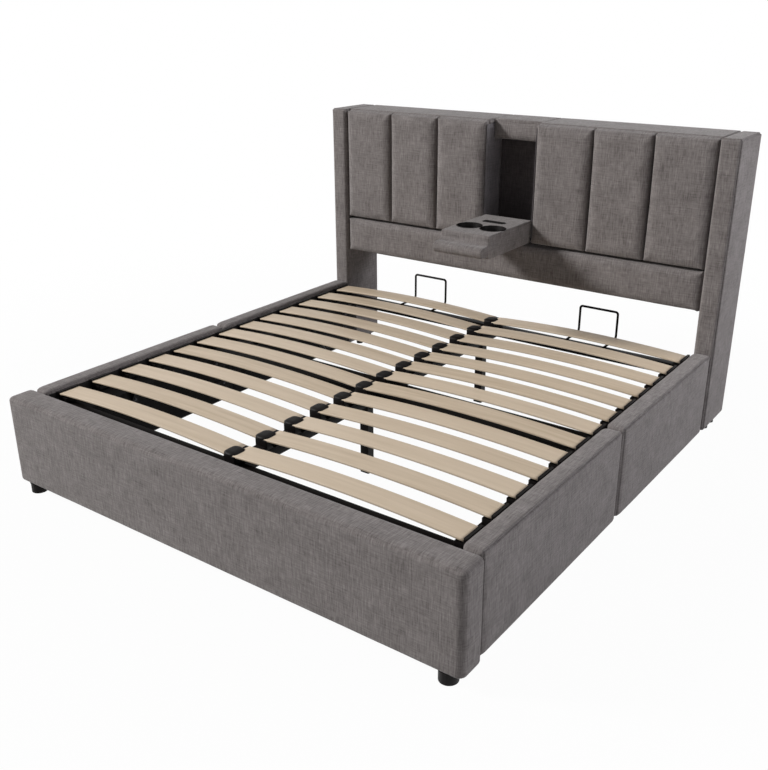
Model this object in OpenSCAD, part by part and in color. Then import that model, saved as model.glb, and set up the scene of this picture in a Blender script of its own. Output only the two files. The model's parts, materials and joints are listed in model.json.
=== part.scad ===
// Upholstered storage bed: padded rails, winged channel headboard with a fold-down tray,
// and a sprung slat platform that lifts on two gas struts.
// Millimetres, +Z up, +Y towards the headboard, +X to the right seen from the foot.
// The origin is on the floor, at the middle of the footprint.

/* [Overall] */
// Width over the footboard and over the headboard wings
bed_w = 2100; // [1700:10:2300]
// Length from the footboard's front to the headboard's back
bed_l = 2333; // [2250:1:2500]
// Height of the headboard above the floor
head_h = 1325; // [1200:5:1500]
// Height of the rails and of the footboard above the floor
side_h = 406; // [395:1:450]
// Gap between the upholstered sides and the floor, which is the height of the feet
floor_gap = 45; // [25:1:50]

/* [Rails and footboard] */
// Thickness of the padded footboard
foot_t = 113; // [90:1:140]
// Thickness of the padded side rails
rail_t = 72; // [60:1:84]
// Distance that a rail's outer face stands in from the end of the footboard
rail_inset = 12; // [0:1:30]
// Distance from the footboard's front to the joint between the two halves of a rail
rail_split = 1113; // [1050:1:1200]
// Thickness of the boards inside the padding
core_t = 38; // [30:1:44]
// Padding over the top and bottom edges of the boards
edge_pad = 17; // [12:1:22]
// Radius of the upholstered edges
soft_r = 16; // [8:1:20]
// Radius of the footboard's ends
foot_end_r = 26; // [16:1:40]
// Diameter of the footboard's feet
foot_d = 64; // [50:1:70]
// Distance from the footboard's end to the middle of its foot
foot_in = 63; // [50:1:120]
// Diameter of a wing's feet
wing_foot_d = 36; // [30:1:40]

/* [Headboard] */
// Thickness of a headboard wing
wing_t = 88; // [70:1:100]
// Depth of the headboard from front to back
wing_d = 276; // [260:1:300]
// Distance from the wings' front to the front of the padding
pad_back = 9; // [4:1:20]
// Thickness of the channel padding
pad_t = 34; // [26:1:40]
// Depth of the roll around each pad
pad_roll = 24; // [12:1:30]
// Height of the lower pad's bottom edge above the floor
pad_low = 591; // [560:1:640]
// Height of the joint between the lower pad and the channels
pad_mid = 774; // [740:1:790]
// Width of the niche between the channels
niche_w = 260; // [240:1:300]
// Depth of the niche behind the front of the padding
niche_d = 156; // [130:1:190]
// Height of the panel above the niche
header_h = 72; // [40:1:74]
// Thickness of the boards in the headboard
panel_t = 15; // [12:1:18]
// Thickness of the padded top of the headboard
top_t = 22; // [16:1:30]

/* [Tray] */
// Distance that the open tray reaches out from the padding to its top front edge
tray_out = 378; // [340:1:390]
// Thickness of the tray
tray_t = 106; // [90:1:110]
// Gap between the tray and the niche on each side
tray_gap = 4; // [2:0.5:6]
// Height of the hinge axis above the tray's underside
hinge_up = 17; // [14:1:24]
// Diameter of the cup wells
cup_d = 116; // [80:1:118]
// Depth of the cup wells
cup_deep = 70; // [50:1:85]
// Distance from the padding to the middle of the cup wells
cup_out = 237; // [225:1:260]
// Length of the slot for a phone or tablet
slot_l = 109; // [80:1:140]
// Width of the slot
slot_w = 31; // [16:1:40]
// Distance from the padding to the middle of the slot
slot_out = 117; // [100:1:130]
// Depth of the slot
slot_deep = 42; // [30:1:60]
// Radius of the roll along the tray's front
lip_r = 25; // [18:1:28]
// Distance that the roll stands out in front of the top edge
lip_out = 70; // [60:1:90]
// Diameter of the tray's hinge pins
tray_pin_d = 10; // [8:1:12]

/* [Slat platform] */
// Number of slats in each of the two rows
slat_n = 13; // [11:1:13]
// Distance from one slat to the next at the middle of the bed
slat_pitch = 139.7; // [132:0.1:142]
// Distance that the end slats stand further out than an even pitch would put them
slat_ease = 47; // [20:1:50]
// Distance from the footboard's front to the middle of the slats
slat_mid = 1097; // [1092:1:1106]
// Width of a slat
slat_w = 93; // [70:1:98]
// Thickness of a slat
slat_t = 8; // [6:0.5:10]
// Rise of a slat's middle above its ends
slat_bow = 24; // [10:1:26]
// Width of the steel frame tubes
tube_w = 40; // [30:1:42]
// Height of the steel frame tubes
tube_h = 50; // [40:1:54]
// Height of the frame's underside above the floor
frame_z = 307; // [300:1:312]
// Gap between the frame and the rails
frame_side = 21; // [18:1:24]
// Gap between the frame and the footboard
frame_foot = 49; // [40:1:52]
// Distance from the frame's head end to the wings' front
frame_head = 29; // [24:1:30]
// Distance from the frame to the slats' ends in their holders
seat_h = 21; // [16:1:24]
// Width of a centre leg
leg_w = 40; // [30:1:44]
// Distance from the footboard's front to the joint between the two halves of the frame
frame_split = 1040; // [1020:1:1060]
// Width of the cross tubes at the joint between the two halves of the frame
joint_tube_w = 78; // [60:1:84]
// Distance from the frame's joint back to the first centre leg
leg_1_back = 91; // [80:1:140]
// Distance from the frame's head end back to the second centre leg
leg_2_back = 158; // [120:1:260]
// Height of the wire mattress stops above the floor
stop_h = 498; // [450:1:540]
// Width of a wire mattress stop
stop_w = 189; // [150:1:240]
// Distance from the middle of the bed to the middle of a mattress stop
stop_x = 475; // [400:1:560]
// Distance from the frame's head end back to the mattress stops
stop_back = 112; // [80:1:120]
// Diameter of the wire
wire_d = 9; // [6:0.5:12]

/* [Lift mechanism] */
// Distance from the wings' front to the lift pivots
pivot_back = 82; // [80:1:100]
// Largest angle that the platform lifts to
lift_angle = 40; // [35:1:42]
// Distance from a lift pivot to each end of its gas strut
strut_arm = 310; // [300:1:315]
// Height of the strut's lower end above the floor
strut_low = 65; // [62:1:75]
// Distance from the frame's underside down to the strut's upper end
strut_drop = 22; // [20:1:26]
// Diameter of the gas strut's tube
strut_d = 22; // [18:1:22]
// Diameter of the gas strut's rod
rod_d = 10; // [8:1:12]
// Diameter of the lift pivot bolts
pivot_d = 12; // [10:1:14]
// Thickness of the steel plates
plate_t = 5; // [4:1:6]

/* [Clearances] */
// Gap between parts that rest on each other but move apart
rest_gap = 0.3; // [0.2:0.1:0.5]
// Radial clearance of a pin in its bore
pin_fit = 0.08; // [0.05:0.01:0.1]
// Gap around a piece that slips into a pocket
pocket_gap = 0.3; // [0.2:0.1:0.6]

/* [Hidden] */
$fn = 48;

fabric = "#77736f";
steel = "#1b1b1d";
birch = "#cfbf9f";
board = "#b79a70";
plastic = "#202022";

// Planes of the base, with Y measured from the footboard's front.
rail_out = bed_w / 2 - rail_inset;
rail_in = rail_out - rail_t;
wing_y = bed_l - wing_d;
wing_in = bed_w / 2 - wing_t;
step_in = min(rail_in, wing_in) - plate_t;
seam_gap = 1;

// Planes of the headboard.
pad_y = wing_y + pad_back;
panel_y = pad_y + pad_t;
back_y = bed_l - panel_t;
niche_x = niche_w / 2;
niche_y = pad_y + niche_d;
niche_wall = 12;
board_up = 4;
top_z = head_h - top_t;
channel_top = head_h - 3;
channel_w = (wing_in - 2 - niche_x) / 3;

// Tray and its hinge.
tray_x = niche_x - tray_gap;
tray_z = pad_mid + rest_gap;
tray_top = tray_z + tray_t;
hinge_z = tray_z + hinge_up;
hinge_y = pad_y + hinge_up;
tray_front = pad_y - tray_out;
tray_skin = 4;
cup_y = pad_y - cup_out;
cup_x = cup_d / 2 + 4;
slot_y = pad_y - slot_out;
liner_t = 2.5;
rim_h = 2;

// Platform.
tube_out = rail_in - frame_side;
tube_in = tube_out - tube_w;
frame_top = frame_z + tube_h;
frame_y0 = foot_t + frame_foot;
frame_y1 = wing_y - frame_head;
slat_z = frame_top + seat_h;
slat_in = 8;
slat_end = tube_out + 10;
slat_len = slat_end - slat_in;
slat_r = slat_len * slat_len / (8 * slat_bow) + slat_bow / 2;
leg_rows = [frame_split - leg_1_back, frame_y1 - leg_2_back];

// Lift pivots and gas struts, as points [y, z].
pivot = [wing_y - pivot_back, frame_z + tube_h / 2];
function strut_end(z) = [pivot[0] - sqrt(pow(strut_arm, 2) - pow(pivot[1] - z, 2)), z];
upper = strut_end(frame_z - strut_drop);
lower = strut_end(strut_low);
strut_x = tube_out - strut_d / 2 + 1;
strut_shut = norm(upper - lower);
strut_open = 2 * strut_arm * sin(asin(strut_shut / 2 / strut_arm) + lift_angle / 2);
strut_lean = atan2(lower[0] - upper[0], upper[1] - lower[1]);
eye_d = 18;
eye_w = 14;
stud_d = 10;
rod_stub = 12;
tube_end = strut_shut - eye_d / 2 - rod_stub;
rod_in = 16;
rod_len = strut_open - tube_end + rod_in;

slat_half = (slat_n - 1) / 2;

// Front edge of slat i: the rows lie closer together where the sleeper's hips rest.
function slat_row(i) = slat_mid - slat_w / 2 + slat_pitch * (i - slat_half)
    + slat_ease * pow((i - slat_half) / slat_half, 3);

// Moves a shape from the footboard-front datum to the bed's origin.
module bed() {
    translate([0, -bed_l / 2, 0]) children();
}

// Draws a right-hand shape on both sides.
module both_sides() {
    children();
    mirror([1, 0, 0]) children();
}

// Box between two corners.
module span(lo, hi) {
    translate(lo) cube(hi - lo);
}

// Round bar along X from x0 to x1 about the point [y, z].
module bar_x(x0, x1, at, d) {
    translate([x0, at[0], at[1]]) rotate([0, 90, 0]) cylinder(d = d, h = x1 - x0);
}

// Rounded rectangle from the origin to [a, b].
module round_rect(a, b, r) {
    translate([r, 0]) square([a - 2 * r, b]);
    translate([0, r]) square([a, b - 2 * r]);
    for (x = [r, a - r], y = [r, b - r]) translate([x, y]) circle(r);
}

// Upholstered board between two corners: plan radius rp, side radius rs.
module soft_board(lo, hi, rp, rs) {
    size = hi - lo;
    translate(lo) intersection() {
        linear_extrude(size[2]) round_rect(size[0], size[1], rp);
        translate([0, size[1], 0]) rotate([90, 0, 0])
            linear_extrude(size[1]) round_rect(size[0], size[2], rs);
        rotate([90, 0, 90]) linear_extrude(size[0]) round_rect(size[1], size[2], rs);
    }
}

// Crowned pad, w by h, that stands out of the XZ plane towards -Y, with a rolled edge.
module crowned_pad(w, h, t, roll) {
    leaf = 0.1;
    body = t * 0.9 - leaf;
    steps = [-56, -30, 0, 28, 52, 72, 90];
    low = sin(steps[0]);
    flat = roll * 2.4;
    rotate([90, 0, 0]) hull() {
        for (a = steps) {
            inset = roll * (1 - cos(a));
            r = max(4, roll * 0.7 - inset * 0.25);
            translate([inset, inset, body * (sin(a) - low) / (1 - low)])
                linear_extrude(leaf) round_rect(w - 2 * inset, h - 2 * inset, r, $fn = 16);
        }
        translate([flat, flat, t - leaf])
            linear_extrude(leaf) round_rect(w - 2 * flat, h - 2 * flat, 6, $fn = 16);
    }
}

// Footboard: a board faced and wrapped with padding, open to the inside of the bed.
module footboard_core_shape() {
    span([-rail_out, foot_t - core_t, floor_gap + edge_pad], [rail_out, foot_t, side_h - edge_pad]);
}

module footboard_core() {
    color(board) footboard_core_shape();
}

module footboard_cover() {
    color(fabric) difference() {
        soft_board([-bed_w / 2, 0, floor_gap], [bed_w / 2, foot_t, side_h], foot_end_r, soft_r);
        footboard_core_shape();
    }
}

// Side rails: each is two padded boards that meet at the split.
module rail_core_shape(y0, y1) {
    span([rail_in, y0, floor_gap + edge_pad], [rail_in + core_t, y1, side_h - edge_pad]);
}

module rail_core(y0, y1) {
    color(board) rail_core_shape(y0, y1);
}

module rail_cover(y0, y1) {
    color(fabric) difference() {
        soft_board([rail_in, y0, floor_gap], [rail_out, y1, side_h], 10, soft_r);
        rail_core_shape(y0, y1);
    }
}

// Flat plates across the two halves of each rail, on the inside.
joint_t = 4;
joint_h = 50;
joint_reach = 110;
joint_z = [110, 220];
joint_bolts = [-80, -40, 40, 80];
module rail_joint_plates() {
    color(steel) both_sides()
        for (z = joint_z)
            difference() {
                span([rail_in - joint_t, rail_split - joint_reach, z],
                     [rail_in, rail_split + joint_reach, z + joint_h]);
                for (y = joint_bolts)
                    bar_x(rail_in - joint_t - 1, rail_in + 1, [rail_split + y, z + joint_h / 2], 8);
            }
}

// Angle brackets that bolt the rails to the footboard, and stepped plates that bolt them to the wings.
bracket_z = [110, 270];
bracket_leg = 60;
bracket_bolt = 36;
bracket_rows = [bracket_z[0] + 35, bracket_z[1] - 35];
wing_bolts = [-36, 30];
module corner_brackets() {
    z0 = bracket_z[0];
    z1 = bracket_z[1];
    color(steel) both_sides() {
        difference() {
            union() {
                span([rail_in - plate_t, foot_t, z0], [rail_in, foot_t + bracket_leg, z1]);
                span([rail_in - bracket_leg, foot_t, z0], [rail_in, foot_t + plate_t, z1]);
            }
            for (z = bracket_rows)
                bar_x(rail_in - plate_t - 1, rail_in + 1, [foot_t + bracket_bolt, z], 8);
        }
        difference() {
            union() {
                span([step_in, wing_y, z0], [wing_in, wing_y + bracket_leg, z1]);
                span([step_in, wing_y - bracket_leg - 10, z0], [rail_in, wing_y, z1]);
            }
            for (y = wing_bolts, z = bracket_rows)
                bar_x(step_in - 1, max(rail_in, wing_in) + 1, [wing_y + y, z], 8);
        }
    }
}

// Gusseted shelves on the rails that the closed platform rests on.
rest_y = [520, 1290];
shelf_z = frame_z - 6;
shelf_half = 35;
shelf_drop = 90;
shelf_bolt = [21, 68];
gusset = [46, 72];
module rest_brackets() {
    color(steel) both_sides()
        for (y = rest_y) {
            y0 = y - shelf_half;
            y1 = y + shelf_half;
            span([rail_in - plate_t, y0, shelf_z - shelf_drop], [rail_in, y1, shelf_z]);
            span([tube_in, y0, shelf_z - plate_t], [rail_in, y1, shelf_z]);
            translate([rail_in - plate_t, y + plate_t / 2, shelf_z - plate_t]) rotate([90, 0, 0])
                linear_extrude(plate_t) polygon([[0, 0], [-gusset[0], 0], [0, -gusset[1]]]);
        }
}

module rest_bumpers() {
    color(plastic) both_sides()
        for (y = rest_y)
            translate([tube_in + tube_w / 2, y, shelf_z])
                cylinder(d = 26, h = frame_z - rest_gap - shelf_z);
}

// Round feet under the ends of the footboard and slimmer ones under the wings, flanged at the top.
module foot(at, d) {
    flange = 6;
    translate([at[0], at[1], 0]) {
        cylinder(d = d, h = floor_gap - flange);
        translate([0, 0, floor_gap - flange]) cylinder(d = d + 4, h = flange);
    }
}

module feet() {
    wing_mid = bed_w / 2 - wing_t / 2;
    color(plastic) both_sides() {
        foot([bed_w / 2 - foot_in, foot_d / 2 + 6], foot_d);
        for (y = [wing_y + 150, bed_l - 46]) foot([wing_mid, y], wing_foot_d);
    }
}

// Wings: a board in padding, open at the bottom where the feet screw in.
module wing_core_shape() {
    mid = bed_w / 2 - wing_t / 2;
    span([mid - core_t / 2, wing_y + 24, floor_gap], [mid + core_t / 2, bed_l - 18, head_h - 18]);
}

module wing_core() {
    color(board) wing_core_shape();
}

module wing_cover() {
    color(fabric) difference() {
        soft_board([wing_in, wing_y, floor_gap], [bed_w / 2, bed_l, head_h], 14, 14);
        wing_core_shape();
    }
}

// Plywood face that the pads are stapled to, with the niche's window.
module headboard_front_board() {
    color(board) difference() {
        span([-wing_in, panel_y, pad_low + board_up], [wing_in, panel_y + panel_t, top_z]);
        span([-niche_x, panel_y - 1, pad_mid], [niche_x, panel_y + panel_t + 1, top_z + 1]);
    }
}

module headboard_back_panel() {
    color("#3a3836") span([-wing_in, back_y, pad_low + board_up], [wing_in, bed_l - 2, top_z]);
}

// Timber rails and posts between the front board and the back panel.
module headboard_frame() {
    beam = 40;
    x0 = niche_x + niche_wall;
    y0 = panel_y + panel_t;
    z0 = pad_low + board_up;
    color(board) {
        span([-wing_in, y0, z0], [wing_in, back_y, z0 + panel_t]);
        both_sides() {
            for (x = [x0, wing_in - beam]) span([x, y0, z0 + panel_t], [x + beam, back_y, top_z]);
            for (y = [y0, back_y - beam]) span([x0, y, top_z - beam], [wing_in, y + beam, top_z]);
        }
    }
}

// Padded top, with a tongue that reaches over the niche.
module headboard_top_pad() {
    color(fabric) {
        soft_board([-wing_in, panel_y, top_z], [wing_in, bed_l, head_h], 6, 8);
        soft_board([-niche_x + 1, pad_y + 10, top_z], [niche_x - 1, panel_y + 20, head_h], 6, 8);
    }
}

// Vertical channel pads, counted from the niche outwards.
module channel_pad(side, i) {
    x0 = niche_x + channel_w * (i - 1) + seam_gap / 2;
    w = channel_w - seam_gap;
    color(fabric)
        translate([side > 0 ? x0 : -x0 - w, panel_y, pad_mid + seam_gap])
            crowned_pad(w, channel_top - pad_mid - seam_gap, pad_t, pad_roll);
}

module lower_pad() {
    color(fabric)
        translate([-wing_in + 2, panel_y, pad_low])
            crowned_pad(2 * wing_in - 4, pad_mid - pad_low, pad_t, pad_roll * 0.75);
}

// Panel above the niche, set back behind the folded tray.
module niche_header_pad() {
    folded_back = hinge_y + tray_t - hinge_up;
    color(fabric)
        translate([-niche_x + 1, niche_y, top_z - header_h])
            crowned_pad(niche_w - 2, header_h, niche_y - folded_back - 3, 7);
}

// Dark box behind the window, open to the front and closed by the padded top.
module niche_box() {
    lo = panel_y + panel_t;
    outer = niche_x + niche_wall;
    color("#2c2a2b") difference() {
        span([-outer, lo, pad_mid - niche_wall], [outer, niche_y + niche_wall, top_z]);
        span([-niche_x, lo - 1, pad_mid], [niche_x, niche_y, top_z + 1]);
    }
}

// Pins with washers on small plates inside the niche, which the tray turns on.
pin_reach = 24;
module tray_hinge_pins() {
    ear_t = tray_gap / 2;
    ear_r = tray_pin_d / 2 + 4;
    color(steel) both_sides() {
        bar_x(tray_x - pin_reach, niche_x, [hinge_y, hinge_z], tray_pin_d);
        bar_x(tray_x + rest_gap, niche_x, [hinge_y, hinge_z], 2 * ear_r);
        translate([niche_x - ear_t, hinge_y, hinge_z - ear_r])
            cube([ear_t, panel_y + panel_t + 30 - hinge_y, 2 * ear_r]);
    }
}

// Plates on the rails that carry the lift pivots, with their screws low, clear of the turning frame.
plate_screws = [[-44, -30], [44, -30], [-44, 8]];
pivot_plate = [60, 45];
module lift_hinge_plates() {
    color(steel) both_sides() difference() {
        union() {
            span([rail_in - plate_t, pivot[0] - pivot_plate[0], pivot[1] - pivot_plate[1]],
                 [rail_in, pivot[0] + pivot_plate[0], pivot[1] + pivot_plate[1]]);
            bar_x(tube_out + 3 + rest_gap, rail_in - plate_t, pivot, pivot_d + 14);
        }
        bar_x(tube_out, rail_in + 1, pivot, pivot_d + 2 * pin_fit);
        for (at = plate_screws) bar_x(rail_in - plate_t - 1, rail_in + 1, pivot + at, 7);
    }
}

// Bolts through the plates and the side tubes, with nuts inside the frame.
module lift_pivot_bolts() {
    nut_t = 8;
    color("#8d8f92") both_sides() {
        bar_x(tube_in - nut_t - 3, rail_in - 0.5, pivot, pivot_d);
        translate([tube_in - nut_t - 0.5, pivot[0], pivot[1]]) rotate([0, 90, 0])
            cylinder(d = pivot_d * 1.8, h = nut_t, $fn = 6);
    }
}

// Plates low on the rails with the studs of the gas struts.
stud_screws = [[-38, 22], [38, 22]];
stud_plate = [50, 13, 40];
module strut_lower_brackets() {
    color(steel) both_sides() {
        difference() {
            span([rail_in - plate_t, lower[0] - stud_plate[0], lower[1] - stud_plate[1]],
                 [rail_in, lower[0] + stud_plate[0], lower[1] + stud_plate[2]]);
            for (at = stud_screws) bar_x(rail_in - plate_t - 1, rail_in + 1, lower + at, 7);
        }
        bar_x(strut_x - eye_w / 2 - 3, rail_in - plate_t, lower, stud_d);
        bar_x(strut_x + eye_w / 2 + rest_gap, rail_in - plate_t, lower, stud_d + 6);
        bar_x(strut_x - eye_w / 2 - 3, strut_x - eye_w / 2 - rest_gap, lower, stud_d + 4);
    }
}

// Head of a furniture bolt, low and domed, on a plane of constant X.
module bolt_head(x, at) {
    bar_x(x - 2, x, at, 15);
    bar_x(x - 4, x - 2, at, 10);
}

module assembly_bolts() {
    color("#8d8f92") both_sides() {
        for (z = joint_z, y = joint_bolts) bolt_head(rail_in - joint_t, [rail_split + y, z + joint_h / 2]);
        for (z = bracket_rows) {
            bolt_head(rail_in - plate_t, [foot_t + bracket_bolt, z]);
            for (y = wing_bolts) bolt_head(step_in, [wing_y + y, z]);
        }
        for (y = rest_y, side = [-1, 1])
            bolt_head(rail_in - plate_t, [y + side * shelf_bolt[0], shelf_z - shelf_bolt[1]]);
        for (at = plate_screws) bolt_head(rail_in - plate_t, pivot + at);
        for (at = stud_screws) bolt_head(rail_in - plate_t, lower + at);
    }
}

// Welded tube frame of the platform, in two halves, with cross tubes of widths w0 and w1.
module half_frame(y0, y1, w0, w1) {
    span([-tube_out, y0, frame_z], [tube_out, y0 + w0, frame_top]);
    span([-tube_out, y1 - w1, frame_z], [tube_out, y1, frame_top]);
    both_sides() span([tube_in, y0, frame_z], [tube_out, y1, frame_top]);
}

module frame_foot_half() {
    color(steel) half_frame(frame_y0, frame_split, tube_w, joint_tube_w);
}

// The head half carries a washer plate and the bore of each lift pivot.
module frame_head_half() {
    color(steel) difference() {
        union() {
            half_frame(frame_split, frame_y1, joint_tube_w, tube_w);
            both_sides() bar_x(tube_out - 1, tube_out + 3, pivot, pivot_d + 22);
        }
        both_sides() bar_x(tube_in - 1, tube_out + 4, pivot, pivot_d + 2 * pin_fit);
    }
}

module centre_beams() {
    color(steel) {
        for (y = [[frame_y0 + tube_w, frame_split - joint_tube_w],
                  [frame_split + joint_tube_w, frame_y1 - tube_w]])
            span([-tube_w / 2, y[0], frame_z], [tube_w / 2, y[1], frame_top]);
    }
}

// One bowed slat of the right row, grown by g on every face.
module slat(i, g = 0) {
    mid = (slat_in + slat_end) / 2;
    top_r = slat_r + g;
    low_r = slat_r - slat_t - g;
    translate([mid, slat_row(i) + slat_w + g, slat_z + slat_t + slat_bow - slat_r]) rotate([90, 0, 0])
        linear_extrude(slat_w + 2 * g) difference() {
            intersection() {
                circle(top_r, $fn = 720);
                translate([-slat_len / 2 - g, low_r - 60]) square([slat_len + 2 * g, 200]);
            }
            circle(low_r, $fn = 720);
        }
}

module slats() {
    color(birch) for (i = [0:slat_n - 1]) slat(i);
}

// Double holders on the centre beam: a foot, a low pocket for the two slats' ends and a domed hood.
holder_wall = 3;
holder_half = 28;
holder_foot = 40;
hood_top = 26;
hood_r = 34;
hood_in = 8;
module centre_slat_holders() {
    wide = slat_w + 2 * holder_wall;
    hood_l = slat_w - 2 * hood_in;
    lip = 3;
    color(plastic) for (i = [0:slat_n - 1]) difference() {
        union() {
            translate([-holder_foot, slat_row(i) + holder_wall, frame_top])
                linear_extrude(seat_h - pocket_gap)
                    round_rect(2 * holder_foot, slat_w - 2 * holder_wall, 12);
            translate([-holder_half, slat_row(i) - holder_wall, frame_top])
                linear_extrude(seat_h + slat_t + lip) round_rect(2 * holder_half, wide, 9);
            translate([0, slat_row(i) + slat_w - hood_in, 0]) rotate([90, 0, 0]) linear_extrude(hood_l)
                intersection() {
                    translate([0, slat_z + hood_top - hood_r]) circle(hood_r);
                    translate([-holder_half, slat_z]) square([2 * holder_half, hood_top]);
                }
        }
        both_sides() slat(i, pocket_gap);
    }
}

// Caps on the side tubes that take the slats' outer ends: a seat under each slat and a block beyond it.
cap_over = 8;
cap_top = 15;
module outer_slat_caps() {
    seat_in = tube_in + 6;
    x0 = slat_end - cap_over;
    x1 = rail_in - frame_side / 3;
    wide = slat_w + 2 * holder_wall;
    color(plastic) both_sides() for (i = [0:slat_n - 1]) difference() {
        union() {
            translate([seat_in, slat_row(i) + holder_wall, frame_top])
                linear_extrude(seat_h - pocket_gap)
                    round_rect(x1 - seat_in, slat_w - 2 * holder_wall, 5);
            translate([x0, slat_row(i) - holder_wall, frame_top])
                linear_extrude(seat_h + slat_t + cap_top) round_rect(x1 - x0, wide, 5);
        }
        slat(i, pocket_gap);
    }
}

// Square legs under the centre beam, each with a welded top plate.
glide_h = 8;
module centre_legs() {
    color(steel) for (y = leg_rows) {
        span([-leg_w / 2, y - leg_w / 2, glide_h], [leg_w / 2, y + leg_w / 2, frame_z - plate_t]);
        span([-leg_w / 2 - 18, y - leg_w / 2, frame_z - plate_t], [leg_w / 2 + 18, y + leg_w / 2, frame_z]);
    }
}

module leg_glides() {
    color(plastic) for (y = leg_rows)
        translate([-leg_w / 2 - 2, y - leg_w / 2 - 2, 0])
            linear_extrude(glide_h) round_rect(leg_w + 4, leg_w + 4, 5);
}

// Quarter of a bent wire about the Z axis, from +X to +Y.
module wire_bend(r, d) {
    rotate_extrude(angle = 90) translate([r, 0]) circle(d = d);
}

// Wire loops behind the head end that keep the mattress on the platform.
module mattress_stops() {
    y0 = frame_y1 - tube_w + 5;
    y1 = frame_y1 + stop_back;
    low_r = 20;
    top_r = 12;
    run_z = frame_top + wire_d / 2;
    bar_z = stop_h - wire_d / 2;
    x0 = stop_x - stop_w / 2;
    x1 = stop_x + stop_w / 2;
    color(steel) both_sides() {
        for (x = [x0, x1]) {
            translate([x, y0, run_z]) rotate([-90, 0, 0]) cylinder(d = wire_d, h = y1 - low_r - y0);
            translate([x, y1 - low_r, run_z + low_r]) rotate([90, 0, 90])
                rotate(-90) wire_bend(low_r, wire_d);
            translate([x, y1, run_z + low_r]) cylinder(d = wire_d, h = bar_z - top_r - run_z - low_r);
        }
        translate([x0 + top_r, y1, bar_z - top_r]) rotate([90, 0, 0]) rotate(90) wire_bend(top_r, wire_d);
        translate([x1 - top_r, y1, bar_z - top_r]) rotate([90, 0, 0]) wire_bend(top_r, wire_d);
        bar_x(x0 + top_r, x1 - top_r, [y1, bar_z], wire_d);
    }
}

// Tabs under the side tubes with the upper studs of the gas struts.
module strut_upper_brackets() {
    x0 = strut_x - eye_w / 2 - 3 - plate_t;
    color(steel) both_sides() {
        span([x0, upper[0] - 30, upper[1] - 11], [x0 + plate_t, upper[0] + 30, frame_z]);
        bar_x(x0 + plate_t, strut_x + eye_w / 2 + 3, upper, stud_d);
        bar_x(x0 + plate_t, strut_x - eye_w / 2 - rest_gap, upper, stud_d + 5);
        bar_x(strut_x + eye_w / 2 + rest_gap, strut_x + eye_w / 2 + 3, upper, stud_d + 4);
    }
}

// Heads and nuts of the bolts that hold the two halves of the frame together.
module frame_bolts() {
    head_t = 5;
    color("#8d8f92") both_sides()
        for (share = [0.2, 0.78], y = [frame_split - joint_tube_w, frame_split + joint_tube_w + head_t])
            translate([tube_in * share, y, frame_z + tube_h / 2]) rotate([90, 0, 0])
                cylinder(d = 17, h = head_t, $fn = 6);
}

// Gas strut, drawn upright from its lower eye and then leaned to its rest position.
module strut_place(side) {
    translate([side * strut_x, lower[0], lower[1]]) rotate([strut_lean, 0, 0]) children();
}

module strut_eye() {
    rotate([0, 90, 0]) difference() {
        cylinder(d = eye_d, h = eye_w, center = true);
        cylinder(d = stud_d + 2 * pin_fit, h = eye_w + 2, center = true);
    }
}

module strut_tube(side) {
    bore_z = strut_shut - rod_len - 8;
    color("#3b3c3f") strut_place(side) {
        strut_eye();
        difference() {
            union() {
                translate([0, 0, eye_d / 2 - 2]) cylinder(d = 11, h = 10);
                translate([0, 0, eye_d / 2 + 6]) cylinder(d = strut_d, h = tube_end - eye_d / 2 - 6);
            }
            rotate([0, 90, 0]) cylinder(d = stud_d + 2 * pin_fit, h = 40, center = true);
            translate([0, 0, bore_z]) cylinder(d = rod_d + 2 * pin_fit, h = tube_end);
        }
    }
}

module strut_rod(side) {
    color("#b9bbbe") strut_place(side) translate([0, 0, strut_shut]) {
        strut_eye();
        difference() {
            translate([0, 0, -rod_len]) cylinder(d = rod_d, h = rod_len - eye_d / 2 + 2);
            rotate([0, 90, 0]) cylinder(d = stud_d + 2 * pin_fit, h = 40, center = true);
        }
    }
}

// Side outline of the tray, in Y and Z, drawn in by g.
module tray_outline(g) {
    nose = [tray_front - lip_out + lip_r, tray_z + 13 + lip_r];
    edge = 10;
    scoop = 20;
    lip_top = nose[1] + lip_r;
    translate([tray_front + edge, tray_z + g]) square([hinge_y - tray_front - edge, tray_t - 2 * g]);
    translate([tray_front + g, tray_z + edge]) square([edge + 1, tray_t - 2 * edge]);
    for (z = [tray_z + edge, tray_top - edge]) translate([tray_front + edge, z]) circle(edge - g);
    translate([hinge_y, hinge_z]) circle(hinge_up - g);
    if (g == 0) {
        translate(nose) circle(lip_r);
        translate([nose[0], nose[1] - lip_r]) square([tray_front + edge - nose[0], 2 * lip_r]);
        difference() {
            translate([tray_front - scoop, lip_top - 1]) square([scoop + 1, scoop + 1]);
            translate([tray_front - scoop, lip_top + scoop]) circle(scoop);
        }
    }
}

module tray_solid(g, half) {
    translate([-half, 0, 0]) rotate([90, 0, 90]) linear_extrude(2 * half) tray_outline(g);
}

// Holes that the liners and the hinge pins go into.
module tray_holes(extra) {
    both_sides() {
        translate([cup_x, cup_y, tray_top - cup_deep - liner_t - extra])
            cylinder(d = cup_d + extra, h = cup_deep + liner_t + 1);
        bar_x(tray_x - pin_reach - 2, tray_x + 1, [hinge_y, hinge_z], tray_pin_d + 2 * pin_fit);
    }
    translate([-slot_l / 2 - extra / 2, slot_y - slot_w / 2 - extra / 2, tray_top - slot_deep - extra])
        linear_extrude(slot_deep + 1) round_rect(slot_l + extra, slot_w + extra, 8);
}

module tray_box() {
    color(board) difference() {
        tray_solid(tray_skin, tray_x - tray_skin);
        tray_holes(2 * pin_fit);
    }
}

module tray_cover() {
    color(fabric) difference() {
        tray_solid(0, tray_x);
        tray_solid(tray_skin, tray_x - tray_skin);
        tray_holes(2 * pin_fit);
    }
}

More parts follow.
